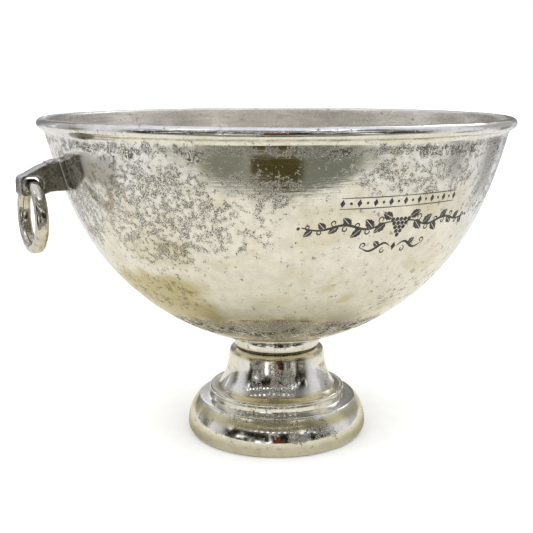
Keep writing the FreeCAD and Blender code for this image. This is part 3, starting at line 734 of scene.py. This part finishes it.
def nickel(name, tint, roughness, wear=None, pit_scale=420.0, pit_depth=0.22, peel=0.03, lines=0.0,
           stain=0.5, dirt_and_shade=0.9, dirt_and_shade_reach=2.5, dirt_and_shade_from=0.70, edge=0.0, satin=0.20, gnarls=False):
    """Nickel-plated casting: pits, stains, satin haze and turning lines. Depths are in mm.

    wear is how densely it is pitted, or None to read the piece's own marks. dirt darkens corners within
    dirt_and_shade_reach, from the share dirt_and_shade_from of open sky down: painted shade, with some
    grime gathered there.
    edge lightens tops that face up, as painted highlight, and edges, as painted highlight and worn
    plating, and gnarls adds the bowl's deep crooked pits and its brushed inside.
    """
    material, n = new_material(name)
    place = n.add("ShaderNodeTexCoord", output=3)
    inside = n.attribute("inside")
    tarnish_and_reflection = n.attribute("tarnish_and_reflection")
    amount = n.attribute("wear") if wear is None else wear
    pits, glints, gather = pitting(n, place, amount, pit_scale)
    cloud = n.noise(place, 26.0, 4.0, 0.6, 0.8)
    fine_cloud = n.noise(place, 130.0, 4.0, 0.65)

    stained = (tint[0] * 0.90, tint[1] * 0.85, tint[2] * 0.70, 1)
    color = n.mix(n.math("MULTIPLY", n.step(cloud, 0.50, 0.66), stain), shaded(tint, 1.0), stained)
    color = n.mix(n.math("MULTIPLY", n.step(fine_cloud, 0.40, 0.62), 0.35), color, shaded(tint, 0.74))
    color = n.mix(n.math("MULTIPLY", n.step(gather, -0.14, 0.10), 0.10), color, shaded(tint, 0.66))
    # Tarnish on the bowl; on the foot, olive bands of painted reflection
    color = n.mix(tarnish_and_reflection, color, TARNISH_AND_REFLECTION)
    color = n.mix(n.math("MULTIPLY", inside, 0.88), color, INSIDE)
    color = n.mix(n.math("MULTIPLY", pits, 0.80), color, GRIME_AND_SHADE)
    if gnarls:
        knot = deep_pits(n, place)
        pits = n.math("MAXIMUM", pits, knot)
        color = n.mix(knot, color, SOOT)
        brushed = n.step(n.noise(n.scaled(place, (1, 1, 9)), 45.0, 5.0, 0.7), 0.38, 0.64)
        color = n.mix(n.math("MULTIPLY", brushed, n.math("MULTIPLY", inside, 0.45)), color, BRUSHED)
    # Darker where little open sky reaches: painted shade in corners, creases and the eye, with some grime
    open_sky = n.add("ShaderNodeAmbientOcclusion", {"Distance": dirt_and_shade_reach * MM}, output="AO", samples=6)
    color = n.mix(n.math("MULTIPLY", n.step(open_sky, dirt_and_shade_from, dirt_and_shade_from - 0.4), dirt_and_shade), color, GRIME_AND_SHADE)
    # Painted highlight: tops that face up are lightened, and sharp edges too, where the plating is also
    # worn
    if edge:
        up = n.split(n.add("ShaderNodeNewGeometry", output="Normal"))[2]
        color = n.mix(n.math("MULTIPLY", n.step(up, 0.30, 0.75), 0.90), color, TOP_HIGHLIGHT)
        point = n.add("ShaderNodeNewGeometry", output="Pointiness")
        color = n.mix(n.math("MULTIPLY", n.step(point, 0.501, 0.518), edge), color, EDGE_WEAR_AND_HIGHLIGHT)

    haze = n.math("MULTIPLY_ADD", fine_cloud, satin, roughness - satin / 2)
    haze = n.math("MULTIPLY_ADD", n.step(cloud, 0.45, 0.65), 0.05, haze)
    haze = n.math("MULTIPLY_ADD", amount, satin * 0.75, haze)
    haze = n.math("MULTIPLY_ADD", tarnish_and_reflection, 0.12, haze)
    haze = n.math("MULTIPLY_ADD", inside, 0.13, haze)
    haze = n.math("ADD", n.attribute("dull"), haze)
    haze = n.math("MULTIPLY_ADD", n.math("MAXIMUM", pits, glints), 0.42, haze)
    haze = n.math("MAXIMUM", haze, 0.04, clamp=True)

    depth = n.math("MULTIPLY", pits, -pit_depth)
    depth = n.math("MULTIPLY_ADD", n.noise(place, 95.0, 2.0, 0.5, 0.4), peel * 3, depth)
    depth = n.math("MULTIPLY_ADD", n.noise(place, 420.0, 2.0), peel * 0.4, depth)
    if lines:
        turning = n.noise(n.scaled(place, (1, 1, 16)), 32.0, 3.0, 0.6, 0.3)
        band = n.step(n.split(place)[2], 205 * MM, 238 * MM, lines, lines * 3)
        depth = n.math("MULTIPLY_ADD", turning, band, depth)
    bump = n.add("ShaderNodeBump", {"Strength": 1.0, "Distance": MM, "Height": depth})
    metal = n.math("SUBTRACT", 1.0, n.attribute("matt")) if gnarls else 1.0
    n.finish(n.add("ShaderNodeBsdfPrincipled", {"Base Color": color, "Metallic": metal,
                                                "Roughness": haze, "Normal": bump}))
    return material


def turned_steel(name, tint, roughness, scale=1500.0):
    """Fasteners: fine machining marks, a little tarnish in blotches."""
    material, n = new_material(name)
    place = n.add("ShaderNodeTexCoord", output=3)
    marks = n.noise(n.scaled(place, (1, 1, 6)), scale, 3.0)
    blotch = n.noise(place, 400.0, 3.0)
    color = n.mix(n.step(blotch, 0.45, 0.62), shaded(tint, 1.0), shaded(tint, 0.72))
    haze = n.math("MULTIPLY_ADD", marks, 0.25, roughness - 0.12)
    depth = n.math("MULTIPLY", marks, 0.03)
    bump = n.add("ShaderNodeBump", {"Strength": 1.0, "Distance": MM, "Height": depth})
    n.finish(n.add("ShaderNodeBsdfPrincipled", {"Base Color": color, "Metallic": 1.0,
                                                "Roughness": haze, "Normal": bump}))
    return material


def rubber(name):
    """Black rubber with a fine grain."""
    material, n = new_material(name)
    place = n.add("ShaderNodeTexCoord", output=3)
    grain = n.noise(place, 900.0, 4.0)
    color = n.ramp(grain, [(0.35, (0.018, 0.018, 0.017)), (0.7, (0.04, 0.038, 0.035))])
    bump = n.add("ShaderNodeBump", {"Strength": 0.6, "Distance": 0.1 * MM, "Height": grain})
    n.finish(n.add("ShaderNodeBsdfPrincipled", {"Base Color": color, "Roughness": 0.65,
                                                "Normal": bump}))
    return material


def engraving_fill(name):
    """Dark filler, worn pale in spots."""
    material, n = new_material(name)
    place = n.add("ShaderNodeTexCoord", output=3)
    worn = n.noise(place, 350.0, 4.0, 0.7)
    color = n.ramp(worn, [(0.3, (0.03, 0.028, 0.026)), (0.62, (0.07, 0.066, 0.06)),
                          (0.72, (0.30, 0.28, 0.23))])
    bump = n.add("ShaderNodeBump", {"Strength": 0.8, "Distance": 0.1 * MM, "Height": worn})
    n.finish(n.add("ShaderNodeBsdfPrincipled", {"Base Color": color, "Metallic": 0.4,
                                                "Roughness": 0.5, "Normal": bump}))
    return material


# ---- ornament -------------------------------------------------------------------------------------
# A letterless device let into the front: a row of beads, a vine with grapes and a flourish. It is
# drawn flat, across and up in millimetres from the front of the wall, and laid onto the bowl.

INLAY_LIFT = 0.07
BEADS_Z, VINE_Z, FLOURISH_Z = 227.0, 209.5, 192.5


class Drawing:
    """Flat shapes for the ornament, gathered as one mesh."""

    def __init__(self):
        self.vertices, self.faces = [], []

    def polygon(self, points):
        """Fan about the middle, so that the parts bend with the wall."""
        start = len(self.vertices)
        middle = sum(points, Vector((0, 0))) / len(points)
        self.vertices += [middle, *points]
        for index in range(len(points)):
            self.faces.append((start, start + 1 + index, start + 1 + (index + 1) % len(points)))

    def berry(self, centre, radius, sides=14):
        self.polygon([centre + Vector((math.cos(a), math.sin(a))) * radius
                      for a in (2 * math.pi * i / sides for i in range(sides))])

    def diamond(self, centre, half_width, half_height):
        self.polygon([centre + Vector(p) for p in
                      ((half_width, 0), (0, half_height), (-half_width, 0), (0, -half_height))])

    def leaf(self, root, angle, length, width):
        """Two halves with a bare midrib between them and a notched edge."""
        turn = Matrix.Rotation(math.radians(angle), 2)
        for side in (1, -1):
            outer = []
            for step in range(9):
                along = step / 8
                swell = math.sin(math.pi * along ** 0.8) * width / 2
                notch = 1.0 if step % 2 else 0.80
                outer.append(Vector((length * along, side * (0.25 + swell * notch))))
            rib = [Vector((length * along, side * 0.22)) for along in (1.0, 0.66, 0.33, 0.0)]
            points = outer + rib
            if side < 0:
                points.reverse()
            self.polygon([root + turn @ p for p in points])

    def stroke(self, points, widest, narrowest=0.25):
        """A pen stroke that swells in its middle."""
        start = len(self.vertices)
        last = len(points) - 1
        for index, point in enumerate(points):
            before, after = points[max(index - 1, 0)], points[min(index + 1, last)]
            run = (after - before).normalized()
            half = (narrowest + (widest - narrowest) * math.sin(math.pi * index / last)) / 2
            side = Vector((-run.y, run.x)) * half
            self.vertices += [point + side, point - side]
        for index in range(last):
            k = start + 2 * index
            self.faces.append((k, k + 1, k + 3, k + 2))


def curl(centre, radius, start, sweep, tightness=0.55, steps=22):
    """Points of a tightening spiral; start and sweep in degrees."""
    points = []
    for step in range(steps + 1):
        part = step / steps
        angle = math.radians(start + sweep * part)
        reach = radius * (1 - tightness * part)
        points.append(centre + Vector((math.cos(angle), math.sin(angle))) * reach)
    return points


def draw_beads(drawing, up):
    """Beads and diamonds in turn, between two rules."""
    for index in range(-8, 9):
        across = index * 6.2
        if index % 2:
            drawing.berry(Vector((across, up)), 1.0)
        else:
            drawing.diamond(Vector((across, up)), 1.9, 2.9)
    for side in (-1, 1):
        for edge in (-3.9, 3.9):
            line = [Vector((side * x, up + edge)) for x in range(-1, 54, 4)]
            drawing.stroke(line, 0.75, 0.4)


def vine_height(across):
    """The wave of the vine's stem, dying away from the middle."""
    return 2.4 * (1.0 - 0.4 * across / 76) * math.sin(across / 18 * math.pi)


def draw_vine(drawing, up):
    """A bunch of grapes with a leafy stem to each side."""
    for row, berries in enumerate((5, 4, 3, 2, 1)):
        for index in range(berries):
            drawing.berry(Vector(((index - (berries - 1) / 2) * 3.5, up + 3.8 - row * 3.0)), 1.6)
    for side in (-1, 1):
        stem = []
        for step in range(70):
            across = 6.0 + step
            stem.append(Vector((side * across, up + vine_height(across))))
        drawing.stroke(stem, 1.9, 0.7)
        for index in range(7):
            across = 13.0 + index * 9.0
            above = 1 if index % 2 else -1
            size = 1.0 - 0.05 * index
            root = Vector((side * across, up + vine_height(across)))
            tilt = 90 - side * (90 - above * 42)
            drawing.leaf(root, tilt, 10.5 * size, 6.8 * size)
            centre = root + Vector((side * 3.6, -above * 2.8 * size))
            drawing.stroke(curl(centre, 2.6 * size, 90 * above, -side * above * 330), 1.0, 0.4)
        drawing.leaf(Vector((side * 8.0, up + 5.0)), 90 - side * 62, 9.5, 6.4)
        drawing.berry(Vector((side * 77.0, up)), 1.2)


def draw_flourish(drawing, up):
    """A diamond with a swash and two curls to each side."""
    drawing.diamond(Vector((0, up)), 2.0, 3.4)
    for side in (-1, 1):
        swash = []
        for step in range(31):
            part = step / 30
            rise = 3.4 * math.sin(part * 2 * math.pi) * (1 - 0.4 * part)
            swash.append(Vector((side * (3.2 + 23.0 * part), up + rise)))
        drawing.stroke(swash, 2.0, 0.4)
        drawing.stroke(curl(Vector((side * 26.0, up + 2.4)), 2.6, -90, side * 380, 0.7), 1.0, 0.4)
        drawing.stroke(curl(Vector((side * 8.5, up - 2.8)), 2.4, 90, -side * 340, 0.7), 1.0, 0.4)
        drawing.leaf(Vector((side * 13.5, up + 1.2)), 90 - side * 50, 6.0, 4.2)


def make_ornament():
    """Lay the drawing on the wall, just proud of it."""
    drawing = Drawing()
    draw_beads(drawing, BEADS_Z)
    draw_vine(drawing, VINE_Z)
    draw_flourish(drawing, FLOURISH_Z)
    vertices = []
    for flat in drawing.vertices:
        radius = wall_radius(flat.y)
        azimuth = flat.x / radius
        centre = ARC_CENTRE if flat.y < (ARC_CENTRE + BLEND * ARC_RADIUS).y else UPPER_CENTRE
        slope = (Vector((radius, flat.y)) - centre).normalized()
        place = Vector((radius * math.sin(azimuth), -radius * math.cos(azimuth), flat.y))
        out = Vector((slope.x * math.sin(azimuth), -slope.x * math.cos(azimuth), slope.y))
        vertices.append((place + out * (bowl_shift(place) + INLAY_LIFT)) * MM)
    ornament = new_piece("front_inlay", vertices, drawing.faces)
    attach(ornament, VESSEL)
    return ornament


# ---- main -----------------------------------------------------------------------------------------

def dress(piece, material):
    """Give a piece its one material."""
    piece.data.materials.clear()
    piece.data.materials.append(material)


def dress_node(name, material):
    """Give a CAD node a material through its own slots, and leave its mesh alone."""
    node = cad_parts[name]
    for slot in node.material_slots:
        slot.link = "OBJECT"
        slot.material = material


def main():
    bpy.context.scene.view_settings.view_transform = "Standard"
    make_camera()
    make_world()
    make_floor()
    make_table()
    bowl = make_bowl()
    mark_bowl(bowl)
    dress(bowl, nickel("nickel_bowl", (0.88, 0.86, 0.80), 0.09, pit_scale=540.0, lines=0.02, dirt_and_shade=0.8,
                       dirt_and_shade_reach=4.0, dirt_and_shade_from=0.76, satin=0.15, gnarls=True))
    foot = make_foot()
    mark_foot(foot)
    dress(foot, nickel("nickel_foot", (0.87, 0.85, 0.78), 0.06, pit_depth=0.12, peel=0.02, stain=0.4,
                       satin=0.08, dirt_and_shade_from=0.55))
    loop = nickel("nickel_ring", (0.72, 0.68, 0.58), 0.07, wear=0.40, pit_scale=520.0, pit_depth=0.08,
                  peel=0.02, stain=0.6, satin=0.06, dirt_and_shade_reach=5.0, dirt_and_shade_from=0.6)
    dress(make_ring("ring_right_loop", 1, "handle_ring_right", RIGHT_RING), loop)
    dress(make_ring("ring_left_loop", -1, "handle_ring_left", LEFT_RING), loop)
    # The bracket gets painted highlights on its tops and edges, and strong painted shade in its corners
    # and eye
    cast = nickel("nickel_bracket", (0.36, 0.33, 0.26), 0.20, wear=0.75, pit_depth=0.25,
                  dirt_and_shade=0.95, dirt_and_shade_reach=6.0, dirt_and_shade_from=0.85, edge=0.9)
    dress(make_bracket("bracket_right_cast", "handle_bracket_right"), cast)
    dress(make_bracket("bracket_left_cast", "handle_bracket_left"), cast)
    dress(make_ornament(), engraving_fill("inlay_fill"))

    screw = turned_steel("screw_steel_worn", (0.62, 0.61, 0.58), 0.28)
    bolt = turned_steel("bolt_steel_worn", (0.50, 0.50, 0.50), 0.34)
    washer = turned_steel("washer_steel_worn", (0.58, 0.57, 0.54), 0.30)
    seal = rubber("seal_rubber_worn")
    for side in ("right", "left"):
        dress_node(f"bracket_screws_{side}", screw)
        dress_node(f"bracket_seals_{side}", seal)
    dress_node("foot_bolt", bolt)
    dress_node("foot_plate_washer", washer)
    dress_node("foot_spring_washer", washer)


main()
